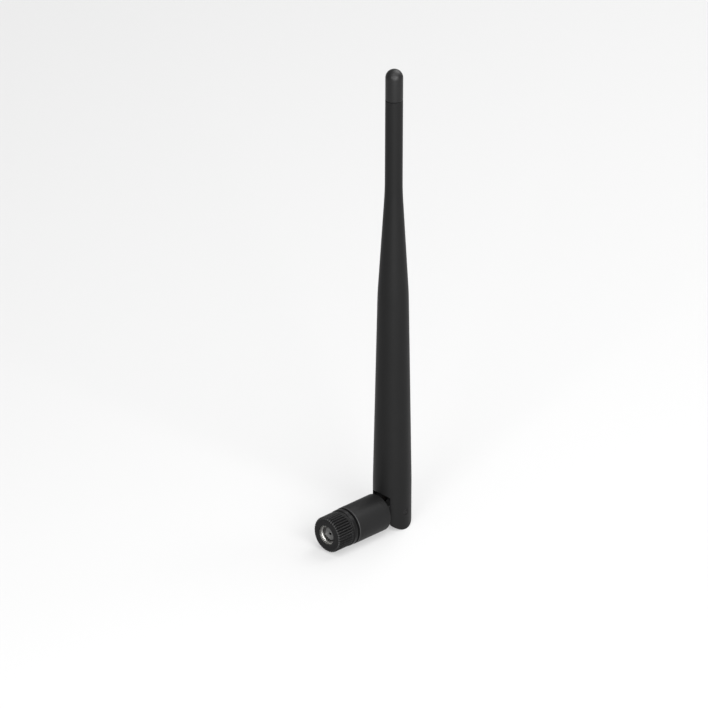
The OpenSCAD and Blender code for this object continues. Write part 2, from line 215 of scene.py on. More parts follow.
class FinishSettings(bpy.types.PropertyGroup):
    """Colours of the antenna's finishes."""

    plastic: colour("Black plastic", "Plastic of the radome and elbow", (0.005, 0.005, 0.0051))
    grip: colour("Grip plastic", "Moulded plastic of the nut's grip", (0.003, 0.003, 0.0031))
    nickel: colour("Nickel", "Plating of the plug and nut", (0.5, 0.495, 0.48))
    dull: colour("Dull nickel", "Plating of the plug's body and contact", (0.2, 0.2, 0.198))
    insulation: colour("Insulation", "Waxy insulation", (0.06, 0.06, 0.059))
    jacket: colour("Cable jacket", "Brown fluoropolymer jacket", (0.33, 0.16, 0.075))
    steel: colour("Spring steel", "Snap ring and friction washers", (0.5, 0.5, 0.51))
    brass: colour("Brass", "Choke sleeve", (0.7, 0.52, 0.24))
    copper: colour("Copper", "Radiator and core", (0.72, 0.4, 0.26))
    braid: colour("Braid", "Tinned braid of the cable", (0.68, 0.66, 0.63))
    silicone: colour("Silicone", "Sealing gasket", (0.3, 0.06, 0.045))
    rubber: colour("Rubber", "O-ring in the swivel", (0.02, 0.02, 0.02))
    shrink: colour("Heat shrink", "Tube over the feed point", (0.025, 0.025, 0.026))
    foam: colour("Foam", "Foam collars", (0.09, 0.09, 0.095))
    floor: colour("Floor", "Studio floor", (0.2, 0.2, 0.2))


class StudioSettings(bpy.types.PropertyGroup):
    """The camera and the lights."""

    azimuth: FloatProperty(name="Azimuth", description="Direction the camera looks from, round Z",
                           default=math.radians(45.09), subtype="ANGLE")
    elevation: FloatProperty(name="Elevation", description="Height of the camera over the horizon",
                             default=math.radians(27.46), subtype="ANGLE")
    distance: length("Distance", "Distance from the camera to its aim", 9873)
    roll: FloatProperty(name="Roll", description="Turn of the camera about its own axis",
                        default=math.radians(0.255), subtype="ANGLE")
    lens: FloatProperty(name="Lens", description="Focal length on a 36 mm sensor", default=1496.1,
                        min=20, unit="CAMERA")
    aim: FloatVectorProperty(name="Aim", description="Where the camera aims, from the hinge",
                             default=(-0.02564, 0.0072, 0.04501), size=3, subtype="TRANSLATION")
    light_distance: length("Light distance", "Distance from the lights to the aim", 900)
    key: power("Key light", "Power of the large light behind and above", 11.0)
    top: power("Top light", "Power of the overhead light", 5.0)
    side: power("Side light", "Power of the light on the right", 11.0)
    low: power("Low light", "Power of the low light beside the camera", 5.5)
    front: power("Front light", "Power of the small light over the plug", 4.0)
    air: FloatProperty(name="Air", description="Strength of the light from all round",
                       default=0.5, min=0)


# ---- shader maths ----

class Field:
    """One value in a shader tree: arithmetic on it adds Math nodes."""

    def __init__(self, tree, socket):
        self.tree = tree
        self.socket = socket

    def _math(self, operation, first, second):
        return self.tree.node("ShaderNodeMath", {"operation": operation}, {0: first, 1: second})

    def __add__(self, other):
        return self._math("ADD", self, other)

    def __rsub__(self, other):
        return self._math("SUBTRACT", other, self)

    def __mul__(self, other):
        return self._math("MULTIPLY", self, other)

    def __gt__(self, other):
        return self._math("GREATER_THAN", self, other)

    __radd__ = __add__
    __rmul__ = __mul__


class Tree:
    """The shader nodes of one material or world."""

    def __init__(self, owner):
        owner.use_nodes = True
        self.nodes = owner.node_tree.nodes
        self.links = owner.node_tree.links
        self.nodes.clear()

    def node(self, kind, settings=None, inputs=None, output=0):
        """Adds a node: its settings first, then the values or links of its sockets."""
        made = self.nodes.new(kind)
        for name, value in (settings or {}).items():
            if name == "stops":
                for element, (place, grey) in zip(made.color_ramp.elements, value):
                    element.position = place
                    element.color = (grey, grey, grey, 1)
            else:
                setattr(made, name, value)
        for name, value in (inputs or {}).items():
            if isinstance(value, Field):
                self.links.new(value.socket, made.inputs[name])
            else:
                made.inputs[name].default_value = value
        return Field(self, made.outputs[output]) if made.outputs else None

    def place(self, stretch=(1, 1, 1)):
        """The point on the object, in millimetres, stretched."""
        point = self.node("ShaderNodeTexCoord", output="Object")
        scale = tuple(s / MM for s in stretch)
        return self.node("ShaderNodeVectorMath", {"operation": "MULTIPLY"}, {0: point, 1: scale})

    def plug_distances(self):
        """Distance from the plug's axis and from its mating plane, in millimetres."""
        apart = self.node("ShaderNodeSeparateXYZ", {}, {0: self.place()}).socket.node.outputs
        across, along, up = (Field(self, socket) for socket in apart)
        radius = self.node("ShaderNodeMath", {"operation": "SQRT"}, {0: across * across + up * up})
        return radius, along

    def noise(self, where, scale, detail=2.0, roughness=0.5):
        """Smooth noise from 0 to 1."""
        return self.node("ShaderNodeTexNoise", {}, {
            "Vector": where, "Scale": scale, "Detail": detail, "Roughness": roughness})

    def ramp(self, value, first, last):
        """A grey ramp between two (place, grey) stops."""
        return self.node("ShaderNodeValToRGB", {"stops": (first, last)}, {0: value})

    def mix(self, share, first, second):
        """A colour between two others."""
        return self.node("ShaderNodeMix", {"data_type": "RGBA"},
                         {0: share, 6: tuple(first) + (1,), 7: tuple(second) + (1,)}, 2)

    def bump(self, height, strength, distance):
        """A normal that follows a height."""
        return self.node("ShaderNodeBump", {},
                         {"Height": height, "Strength": strength, "Distance": distance})

    def surface(self, **sockets):
        """Ends the tree in a principled surface."""
        names = {name.replace("_", " "): value for name, value in sockets.items()}
        shader = self.node("ShaderNodeBsdfPrincipled", {}, names)
        self.node("ShaderNodeOutputMaterial", {}, {"Surface": shader})


def shade(base, factor):
    """A colour made lighter or darker."""
    return tuple(min(1.0, c * factor) for c in base)


def new_finish(name):
    """The empty tree of a new finish."""
    return Tree(bpy.data.materials.new(FINISH + name))


def moulded_plastic(name, base, roughness, specular, grain, highlight_span=(0.0, 0.0), highlight_strength=0.0):
    """Satin moulded plastic: spark-eroded grain, faint flow clouds and handling sheen. Its outer
    edge gets a painted highlight: a paler base colour between two places along the plug's axis, in
    millimetres."""
    tree = new_finish(name)
    where = tree.place()
    radius, along = tree.plug_distances()
    # Painted highlight: the outer rim, between the two places along the plug's axis, gets a paler
    # base colour where the lights glint.
    edge_radius = 5.5
    edge = (radius > edge_radius) * (along > highlight_span[0]) * (1 - (along > highlight_span[1]))
    fine = tree.noise(where, 5.5, 3.0, 0.6)
    clouds = tree.noise(tree.place((1, 1, 0.3)), 0.35, 2.0)
    sheen = tree.noise(where, 0.12, 4.0, 0.65)
    # The grey that the painted highlight lightens the rim towards.
    highlight_grey = (0.06, 0.06, 0.06)
    tree.surface(
        Base_Color=tree.mix(0.02 * clouds + highlight_strength * edge, shade(base, 0.9), highlight_grey),
        Roughness=roughness - 0.05 + 0.06 * fine + 0.07 * sheen,
        Normal=tree.bump(fine, grain, 0.02 * MM),
        Specular_IOR_Level=specular,
    )


def turned_metal(name, base, roughness, stretch, marks, bore=0.0, bore_from=0.0, painted_bore_shade=0.0):
    """Plated metal with fine tool marks across one direction and cloudy tarnish. Inside a bore of
    this radius along the plug's axis, from this far back, in millimetres, its base colour is
    darkened towards black as painted shade."""
    tree = new_finish(name)
    lines = tree.noise(tree.place(stretch), 6.0, 3.0, 0.6)
    tarnish = tree.noise(tree.place(), 0.8, 4.0, 0.6)
    worn = tree.ramp(tarnish, (0.35, 0.0), (0.75, 0.22))
    radius, along = tree.plug_distances()
    # Painted shade: inside the bore the base colour is mixed towards black.
    inside = (1 - (radius > bore)) * (along > bore_from)
    tree.surface(
        Base_Color=tree.mix(worn + painted_bore_shade * inside, base, (0, 0, 0)),
        Metallic=1.0,
        Roughness=roughness + 0.1 * lines + 0.1 * tarnish,
        Normal=tree.bump(lines, marks, 0.01 * MM),
    )


def soft_polymer(name, base, roughness, specular, coarse, grain):
    """Rubber, foam, fluoropolymer or shrink tube: mottled, with a soft relief."""
    tree = new_finish(name)
    where = tree.place()
    relief = tree.noise(where, coarse, 4.0, 0.6)
    mottling = tree.noise(where, 0.5, 3.0)
    tree.surface(
        Base_Color=tree.mix(mottling, shade(base, 0.85), shade(base, 1.15)),
        Roughness=roughness - 0.05 + 0.1 * relief,
        Normal=tree.bump(relief, grain, 0.03 * MM),
        Specular_IOR_Level=specular,
    )


def studio_floor(base, glow):
    """Matt pale floor with a breath of unevenness. It glows a little, so it stays white."""
    tree = new_finish("studio_floor")
    clouds = tree.noise(tree.place(), 0.004, 2.0)
    tree.surface(
        Base_Color=tree.mix(clouds, shade(base, 0.995), shade(base, 1.005)),
        Roughness=0.9,
        Specular_IOR_Level=0.1,
        Emission_Color=(1, 1, 1, 1),
        Emission_Strength=glow,
    )


def make_finishes(look):
    """Makes every finish."""
    barrel_front = low("elbow_barrel", "Y") / MM
    nose = low("knurled_sleeve", "Y") / MM
    across_plug = (0.02, 6, 0.02)
    across_blade = (0.02, 0.02, 6)
    moulded_plastic("radome_plastic", look.plastic, roughness=0.46, specular=0.11, grain=0.10)
    moulded_plastic("cap_plastic", look.plastic, roughness=0.42, specular=0.20, grain=0.05)
    # The barrel's front rim and the grip's nose bevel carry a painted highlight.
    moulded_plastic("barrel_plastic", look.plastic, roughness=0.50, specular=0.14, grain=0.10,
                    highlight_span=(barrel_front + 0.1, barrel_front + 0.3), highlight_strength=0.35)
    moulded_plastic("grip_plastic", look.grip, roughness=0.38, specular=0.12, grain=0.12,
                    highlight_span=(nose + 0.18, nose + 0.4), highlight_strength=0.25)
    moulded_plastic("pin_plastic", look.plastic, roughness=0.40, specular=0.12, grain=0.06)
    # The nut's threaded bore and the contact's socket hole carry painted shade.
    turned_metal("nickel_plating", look.nickel, roughness=0.24, stretch=across_plug, marks=0.25,
                 bore=3.3, bore_from=-0.9, painted_bore_shade=0.45)
    turned_metal("dull_nickel", look.dull, roughness=0.45, stretch=across_plug, marks=0.2,
                 bore=0.55, bore_from=-0.1, painted_bore_shade=0.95)
    turned_metal("spring_steel", look.steel, roughness=0.3, stretch=(1, 6, 6), marks=0.2)
    turned_metal("brass", look.brass, roughness=0.3, stretch=across_blade, marks=0.2)
    turned_metal("copper", look.copper, roughness=0.3, stretch=across_blade, marks=0.2)
    turned_metal("copper_braid", look.braid, roughness=0.35, stretch=(2, 2, 2), marks=0.3)
    soft_polymer("ptfe", look.insulation, roughness=0.42, specular=0.35, coarse=3.0, grain=0.08)
    soft_polymer("cable_jacket", look.jacket, roughness=0.3, specular=0.45, coarse=2.0, grain=0.08)
    soft_polymer("silicone", look.silicone, roughness=0.5, specular=0.4, coarse=3.0, grain=0.1)
    soft_polymer("rubber", look.rubber, roughness=0.6, specular=0.3, coarse=4.0, grain=0.15)
    soft_polymer("heat_shrink", look.shrink, roughness=0.45, specular=0.4, coarse=1.5, grain=0.15)
    soft_polymer("foam", look.foam, roughness=0.95, specular=0.1, coarse=2.2, grain=1.0)
    studio_floor(look.floor, glow=0.42)


def finish(slot):
    """The finish of a slot."""
    if FINISH + slot not in bpy.data.materials:
        make_finishes(bpy.context.scene.antenna_finish)
    return bpy.data.materials[FINISH + slot]


# ---- mesh tools ----

def rounded(outline, closed=False, step=math.radians(9)):
    """Rounds the corners of an outline of (radius, along, corner radius) points."""
    points = [Vector(p[:2]) for p in outline]
    corners = [p[2] if len(p) > 2 else 0 for p in outline]
    straight = 1e-4
    made = []
    for i, (here, corner) in enumerate(zip(points, corners)):
        end = not closed and i in (0, len(points) - 1)
        if end or not corner:
            made.append(here)
            continue
        before = points[i - 1] - here
        after = (points[(i + 1) % len(points)] - here)
        turn = math.pi - before.angle(after)
        if turn < straight:
            made.append(here)
            continue
        cut = corner * math.tan(turn / 2)
        start = here + before.normalized() * cut
        stop = here + after.normalized() * cut
        inwards = (before.normalized() + after.normalized()).normalized()
        middle = here + inwards * math.hypot(corner, cut)
        pieces = max(2, math.ceil(turn / step))
        first, last = start - middle, stop - middle
        for k in range(pieces + 1):
            share = k / pieces
            arm = first * math.sin((1 - share) * turn) + last * math.sin(share * turn)
            made.append(middle + arm / math.sin(turn))
    return [tuple(p) for p in made]


def object_from(name, points, faces):
    """A smooth-shaded mesh object, creased where it turns sharply."""
    mesh = bpy.data.meshes.new(name)
    mesh.from_pydata(points, [], faces)
    piece = bpy.data.objects.new(name, mesh)
    bpy.context.scene.collection.objects.link(piece)
    tidy_normals(piece)
    return piece


def tidy_normals(piece):
    """Points every face outwards and creases the sharp edges."""
    work = bmesh.new()
    work.from_mesh(piece.data)
    bmesh.ops.recalc_face_normals(work, faces=work.faces)
    work.to_mesh(piece.data)
    work.free()
    piece.data.shade_smooth()
    piece.data.set_sharp_from_angle(angle=SHARP)


def revolve(name, outline, axis, closed=True, steps=128, warp=None):
    """Turns an outline of (radius, along) points about an axis. warp(angle, radius, along)
    gives the radius where the surface isn't round. An open outline starts and ends on the axis."""
    points, rings = [], []
    for radius, along in outline:
        if radius < HAIR:
            rings.append([len(points)])
            points.append(axis @ Vector((0, 0, along)))
            continue
        rings.append(list(range(len(points), len(points) + steps)))
        for k in range(steps):
            angle = FULL_TURN * k / steps
            r = warp(angle, radius, along) if warp else radius
            points.append(axis @ Vector((r * math.cos(angle), r * math.sin(angle), along)))
    pairs = list(zip(rings, rings[1:])) + ([(rings[-1], rings[0])] if closed else [])
    faces = []
    for a, b in pairs:
        for k in range(steps):
            n = (k + 1) % steps
            loop = [a[k % len(a)], a[n % len(a)], b[n % len(b)], b[k % len(b)]]
            faces.append([v for i, v in enumerate(loop) if v not in loop[:i]])
    return object_from(name, points, [f for f in faces if len(f) > 2])


def ring(name, inner, outer, start, stop, axis, corner=0.05 * MM, steps=96, warp=None):
    """A plain tube with rounded corners."""
    outline = [(inner, start, corner), (outer, start, corner),
               (outer, stop, corner), (inner, stop, corner)]
    return revolve(name, rounded(outline, closed=True), axis, steps=steps, warp=warp)


def rod(name, radius, start, stop, axis, corner=0.05 * MM, steps=64):
    """A plain round bar with rounded ends."""
    outline = [(0, start), (radius, start, corner), (radius, stop, corner), (0, stop)]
    return revolve(name, rounded(outline), axis, closed=False, steps=steps)


def skin(name, sections):
    """Joins sections, each a loop of as many points, and closes the first and the last."""
    count = len(sections[0])
    last = count * (len(sections) - 1)
    faces = [list(range(count)), list(range(last, last + count))]
    for first in range(0, last, count):
        for k in range(count):
            n = (k + 1) % count
            faces.append([first + k, first + n, first + count + n, first + count + k])
    return object_from(name, [point for section in sections for point in section], faces)


def slab(name, outline, half):
    """An outline in the hinge's Y-Z plane, this far to each side."""
    return skin(name, [[HINGE + Vector((x, y, z)) for y, z in outline] for x in (-half, half)])


def hoop(centre, radius, first, second, sides):
    """A circle of points in the plane of two directions."""
    angles = [FULL_TURN * s / sides for s in range(sides)]
    return [centre + radius * (math.cos(a) * first + math.sin(a) * second) for a in angles]


def arc(radius, start, stop, pieces, centre=(0, 0)):
    """Points along an arc, with angles in degrees."""
    angles = [math.radians(start + (stop - start) * k / pieces) for k in range(pieces + 1)]
    return [(centre[0] + radius * math.cos(a), centre[1] + radius * math.sin(a)) for a in angles]


def carve(piece, operation, *tools):
    """Cuts with, joins or keeps inside other objects, and removes them."""
    for tool in tools:
        cut = piece.modifiers.new("carve", "BOOLEAN")
        cut.operation = operation
        cut.solver = "EXACT"
        cut.object = tool
    bpy.context.view_layer.update()
    seen = piece.evaluated_get(bpy.context.evaluated_depsgraph_get())
    piece.data = bpy.data.meshes.new_from_object(seen)
    piece.modifiers.clear()
    for tool in tools:
        bpy.data.objects.remove(tool)


def soften_edges(piece, width):
    """Rounds the sharp edges and evens the shading beside them."""
    tidy_normals(piece)
    bevel = piece.modifiers.new("edges", "BEVEL")
    bevel.width = width
    bevel.segments = 3
    bevel.limit_method = "ANGLE"
    bevel.angle_limit = math.radians(35)
    bevel.harden_normals = True


def put(piece, body, slot, *nodes):
    """Gives a piece its finish and its body, and the CAD nodes that it stands for."""
    piece.data.materials.clear()
    piece.data.materials.append(finish(slot))
    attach(piece, body)
    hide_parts(*nodes)


# ---- blade ----

class ANTENNA_OT_radome(bpy.types.Operator):
    """Makes the tapered radome with its forked foot"""

    bl_idname = "antenna.radome"
    bl_label = "Radome"
    bl_options = {"REGISTER", "UNDO"}

    def execute(self, context):
        size = context.scene.antenna_blade
        foot, tip = reach("radome", "X"), reach("tip_cap", "X")
        base, seam = span("radome", "Z")
        cavity_foot = foot - size.wall - size.foot_extra
        cavity_waist = size.waist_radius - size.wall - size.waist_extra
        cavity_tip = tip - size.wall
        rows, clear, far = 36, 0.1 * MM, 2 * foot
        side = [(foot, base + (size.foot_height - base) * k / (rows + 2)) for k in range(1, rows)]
        shell = revolve("radome_shell", rounded([
            (0, base), (foot, base), *side, (foot, size.foot_height, size.soften),
            (size.waist_radius, size.waist_height, size.soften),
            (tip, size.neck_height, size.soften),
            (tip, seam - 0.5 * size.seam_groove, 0.03 * MM),
            (tip - size.seam_groove, seam), (cavity_tip, seam),
            (cavity_tip, size.neck_height), (cavity_waist, size.waist_height),
            (cavity_foot, size.foot_height), (cavity_foot, size.cavity_floor),
            (0, size.cavity_floor),
        ], step=math.radians(0.4)), BLADE_AXIS, closed=False, steps=192)
        bend = foot + 0.05 * MM
        foot_end = slab("foot_end", [
            *arc(bend, 180, 360, 96, (0, bend - foot)), (far, bend - foot),
            (far, 2 * seam), (-far, 2 * seam), (-far, bend - foot),
        ], far)
        carve(shell, "INTERSECT", foot_end)
        cable = high("coax_jacket", "X") + clear
        carve(shell, "DIFFERENCE", self.slot(size, far),
              rod("cable_hole", cable, 0, 2 * size.cavity_floor, BLADE_AXIS),
              rod("pin_holes", reach("hinge_pin_left", "Y"), -far, far, HINGE_AXIS))
        soften_edges(shell, size.edge)
        put(shell, "blade", "radome_plastic", "radome")
        return {"FINISHED"}

    def slot(self, size, far):
        """Cutter for the slot: straight sides, arched top, open at the front and below."""
        side = math.degrees(math.acos(size.slot_half / size.arch))
        outline = [(-size.slot_half, -far), (size.slot_half, -far),
                   *arc(size.arch, side, 180 - side, 32)]
        return skin("slot", [[HINGE + Vector((x, y, z)) for x, z in outline]
                             for y in (-far, size.web)])


class ANTENNA_OT_tip_cap(bpy.types.Operator):
    """Makes the domed tip cap and its spigot"""

    bl_idname = "antenna.tip_cap"
    bl_label = "Tip Cap"
    bl_options = {"REGISTER", "UNDO"}

    def execute(self, context):
        size = context.scene.antenna_blade
        tip, top, foot = reach("tip_cap", "X"), high("tip_cap", "Z"), low("tip_cap", "Z")
        seam = high("radome", "Z") + 0.02 * MM
        spigot = tip - size.wall - 0.01 * MM
        socket = high("upper_radiator", "X") + 0.05 * MM
        socket_end = high("upper_radiator", "Z") + 0.3 * MM
        dome = [(tip * math.cos(a), top - tip + tip * math.sin(a))
                for a in (math.radians(3 * k) for k in range(30))]
        cap = revolve("tip_cap_shell", rounded([
            (0, top), *reversed(dome),
            (tip, seam + 2.5 * size.seam_groove, 0.08 * MM), (tip - size.seam_groove, seam),
            (spigot, seam), (spigot, foot, 0.2 * MM), (socket, foot, 0.1 * MM),
            (socket, socket_end), (0, socket_end),
        ]), BLADE_AXIS, closed=False)
        put(cap, "blade", "cap_plastic", "tip_cap")
        return {"FINISHED"}


class ANTENNA_OT_hinge_pins(bpy.types.Operator):
    """Makes the two hinge pins, each with a dished outer end"""

    bl_idname = "antenna.hinge_pins"
    bl_label = "Hinge Pins"
    bl_options = {"REGISTER", "UNDO"}

    def execute(self, context):
        for side, node in ((-1, "hinge_pin_left"), (1, "hinge_pin_right")):
            radius = reach(node, "Y")
            inner, outer = sorted((abs(low(node, "X")), abs(high(node, "X"))))
            dish = outer - 0.12 * MM
            pin = revolve(node + "_turned", rounded([
                (0, side * inner), (radius, side * inner, 0.25 * MM),
                (radius, side * outer, 0.1 * MM), (0.55 * radius, side * outer, 0.1 * MM),
                (0.45 * radius, side * dish, 0.1 * MM), (0, side * dish),
            ]), HINGE_AXIS, closed=False, steps=64)
            put(pin, "blade", "pin_plastic", node)
        return {"FINISHED"}


class ANTENNA_OT_radiator(bpy.types.Operator):
    """Makes the choke, the collinear radiator and the foam that holds them"""

    bl_idname = "antenna.radiator"
    bl_label = "Radiator"
    bl_options = {"REGISTER", "UNDO"}

    def execute(self, context):
        cable, element = high("coax_jacket", "X"), high("lower_radiator", "X")
        self.tube("choke_liner", "ptfe", cable + 0.02 * MM)
        self.tube("feed_heat_shrink", "heat_shrink", element + 0.1 * MM, ripple=0.03 * MM)
        self.tube("foam_collar_lower", "foam", cable + 0.05 * MM)
        self.tube("foam_collar_upper", "foam", element + 0.02 * MM)
        self.choke()
        self.coil()
        for node, slot in (("lower_radiator", "copper"), ("upper_radiator", "copper"),
                           ("coil_former", "ptfe")):
            bar = rod(node + "_drawn", reach(node, "X"), *span(node, "Z"), BLADE_AXIS, 0.15 * MM)
            put(bar, "blade", slot, node)
        return {"FINISHED"}

    def tube(self, node, slot, inner, ripple=0.0):
        """A tube that fills its CAD node's box. A shrunk one has a rippled skin."""

        def rippled(angle, radius, along):
            return radius + ripple * math.sin(along / (0.5 * MM)) * math.sin(3 * angle)

        made = ring(node + "_tube", inner, reach(node, "X") - ripple, *span(node, "Z"),
                    BLADE_AXIS, 0.12 * MM, warp=rippled if ripple else None)
        put(made, "blade", slot, node)

    def choke(self):
        """Open-bottomed brass tube, closed on to the braid by a solder fillet."""
        outer, inner = reach("choke_sleeve", "X"), 1.6 * MM
        bottom, top = span("choke_sleeve", "Z")
        hole, ceiling = high("coax_braid", "X"), top - 0.7 * MM
        made = revolve("choke_tube", rounded([
            (inner, bottom, 0.06 * MM), (outer, bottom, 0.06 * MM), (outer, top, 0.25 * MM),
            (hole + 0.5 * MM, top - 0.04 * MM, 0.3 * MM), (hole, top),
            (hole, ceiling), (inner, ceiling, 0.1 * MM),
        ], closed=True), BLADE_AXIS, steps=96)
        put(made, "blade", "brass", "choke_sleeve")

    def coil(self):
        """Phasing coil: wire that leaves the axis, winds round its former and comes back."""
        bottom, top = span("phasing_coil", "Z")
        wire = 0.29 * MM
        wide = reach("phasing_coil", "X") - wire
        turns, steps, sides = 5, 240, 10
        route = []
        for k in range(steps + 1):
            share = k / steps
            out = min(1, turns * share, turns * (1 - share))
            angle = FULL_TURN * turns * share
            rise = bottom + wire + (top - bottom - 2 * wire) * share
            route.append(HINGE + Vector((wide * out * math.cos(angle),
                                         wide * out * math.sin(angle), rise)))
        sections = []
        for k, here in enumerate(route):
            along = (route[min(k + 1, steps)] - route[max(k - 1, 0)]).normalized()
            side = along.cross(Vector((0, 0, 1))).normalized()
            sections.append(hoop(here, wire, side, along.cross(side), sides))
        put(skin("phasing_coil_wound", sections), "blade", "copper", "phasing_coil")


class ANTENNA_OT_cable(bpy.types.Operator):
    """Makes the coaxial cable: its jacket in three stretches, braid, insulation and core"""

    bl_idname = "antenna.cable"
    bl_label = "Cable"
    bl_options = {"REGISTER", "UNDO"}

    def execute(self, context):
        jacket, braid = reach("coax_jacket", "X"), reach("coax_braid", "X")
        insulation, core = reach("coax_dielectric", "X"), reach("coax_core", "X")
        lower = rod("coax_lower_jacket", jacket, *span("coax_lower", "Y"), PLUG_AXIS)
        put(lower, "plug", "cable_jacket", "coax_lower")
        for node, inner, outer, corner, steps, slot in (
                ("coax_jacket", braid, jacket, 0.04 * MM, 64, "cable_jacket"),
                ("coax_dielectric", core, insulation, 0.03 * MM, 48, "ptfe")):
            layer = ring(node + "_tube", inner, outer, *span(node, "Z"),
                         BLADE_AXIS, corner, steps)
            put(layer, "blade", slot, node)
        wire = rod("coax_core_wire", core, *span("coax_core", "Z"), BLADE_AXIS, 0.03 * MM,
                   steps=32)
        put(wire, "blade", "copper", "coax_core")
        self.braid(insulation, braid)
        self.bend(jacket)
        return {"FINISHED"}

    def braid(self, inner, outer):
        """Woven braid: two opposite sets of strands pass over and under each other."""
        start, stop = span("coax_braid", "Z")
        strands, lay, depth = 8, 2.25 * MM, 0.035 * MM
        rows = 420

        def weave(angle, radius, along):
            if radius < outer - HAIR:
                return radius
            one = math.sin(strands * angle + FULL_TURN * along / lay)
            other = math.sin(strands * angle - FULL_TURN * along / lay)
            return radius - depth * (1 - one * other)

        outline = [(outer, start + (stop - start) * k / rows) for k in range(rows + 1)]
        made = revolve("coax_braid_woven", [(inner, start), *outline, (inner, stop)], BLADE_AXIS,
                       steps=96, warp=weave)
        put(made, "blade", "copper_braid", "coax_braid")

    def bend(self, radius):
        """The cable's quarter turn at the hinge."""
        turn = high("coax_hinge_bend", "Z")
        centre = HINGE + Vector((0, -turn, turn))
        rows, sides = 24, 32
        sections = []
        for k in range(rows + 1):
            swing = FULL_TURN / 4 * k / rows
            out = Vector((0, math.sin(swing), -math.cos(swing)))
            sections.append(hoop(centre + turn * out, radius, out, Vector((1, 0, 0)), sides))
        piece = skin("coax_hinge_flex", sections)
        piece.data.materials.append(finish("cable_jacket"))
        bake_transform(piece)
        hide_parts("coax_hinge_bend")


# ---- elbow ----

class ANTENNA_OT_elbow(bpy.types.Operator):
    """Makes the elbow's barrel with its bore, bead, tongue and cable channel"""

    bl_idname = "antenna.elbow"
    bl_label = "Elbow"
    bl_options = {"REGISTER", "UNDO"}

    def execute(self, context):
        size = context.scene.antenna_elbow
        radius = reach("elbow_barrel", "X")
        front = low("elbow_barrel", "Y")
        back = HINGE.y - size.hinge_end
        barrel = revolve("elbow_shell", rounded([
            (0, front), (radius, front, size.front_rim), (radius, back, size.rim), (0, back),
        ]), PLUG_AXIS, closed=False, steps=192)
        tongue = self.tongue(size)
        trim = rod("trim", radius - 0.1 * MM, back - MM, 2 * HINGE.y, PLUG_AXIS)
        carve(tongue, "INTERSECT", trim)
        carve(barrel, "UNION", tongue)
        far = 3 * radius
        channel = [(-size.hinge_end, -size.channel_floor), (far, -size.channel_floor),
                   (far, far), (-size.hinge_end, far)]
        carve(barrel, "DIFFERENCE", self.bore(size, context.scene.antenna_plug, front, back),
              rod("pin_hole", reach("hinge_pin_left", "Y") + 0.05 * MM, -far, far, HINGE_AXIS),
              slab("channel", channel, size.channel_half),
              *self.washer_seats())
        soften_edges(barrel, size.edge)
        put(barrel, "elbow", "barrel_plastic", "elbow_barrel")
        hole = reach("hinge_pin_left", "Y") + 0.15 * MM
        for node in ("friction_washer_left", "friction_washer_right"):
            washer = ring(node + "_pressed", hole, reach(node, "Y"), *span(node, "X"),
                          HINGE_AXIS, 0.08 * MM)
            put(washer, "elbow", "spring_steel", node)
        return {"FINISHED"}

    def tongue(self, size):
        """The tongue's side outline, which rounds off between its two stop faces."""
        flat, tall, inside = size.tongue_flat, size.tongue_radius, size.hinge_end + MM
        corner = math.degrees(math.acos(flat / tall))
        meet = 180 - math.degrees(math.asin(size.tongue_neck / tall))
        return slab("tongue", [
            (-inside, -flat), *arc(flat, 270, 360, 24), *arc(tall, corner, meet, 24),
            (-inside, size.tongue_neck),
        ], size.tongue_half)

    def bore(self, size, plug, front, back):
        """Cutter for the stepped bore that takes the plug's tail and the cable."""
        tail, bead, cable = size.tail_bore, size.bead, size.cable_bore
        shoulder = plug.collar_end + 0.25 * MM
        bead_start, bead_end = (place * MM for place in (9.7, 10.5))
        tail_end = plug.tail_end + 0.4 * MM
        cable_start, cable_end, channel_start = (place * MM for place in (15.7, 19.5, 20.4))
        return revolve("bore", rounded([
            (0, front - MM), (size.collar_bore, front - MM), (size.collar_bore, shoulder),
            (tail, shoulder), (tail, bead_start, 0.1 * MM), (bead, bead_start, 0.15 * MM),
            (bead, bead_end, 0.15 * MM), (tail, bead_end, 0.1 * MM), (tail, tail_end),
            (cable, cable_start), (cable, cable_end), (size.channel_half, channel_start),
            (size.channel_half, back + MM), (0, back + MM),
        ]), PLUG_AXIS, closed=False, steps=96)

    def washer_seats(self):
        """Cutters for the shallow seats of the friction washers."""
        seats = []
        for node, side in (("friction_washer_left", -1), ("friction_washer_right", 1)):
            inner = min(abs(low(node, "X")), abs(high(node, "X")))
            start, stop = sorted((side * inner, side * (inner + 2 * MM)))
            seats.append(rod("seat", reach(node, "Y") + 0.1 * MM, start, stop, HINGE_AXIS, 0))
        return seats


# ---- coupling nut ----

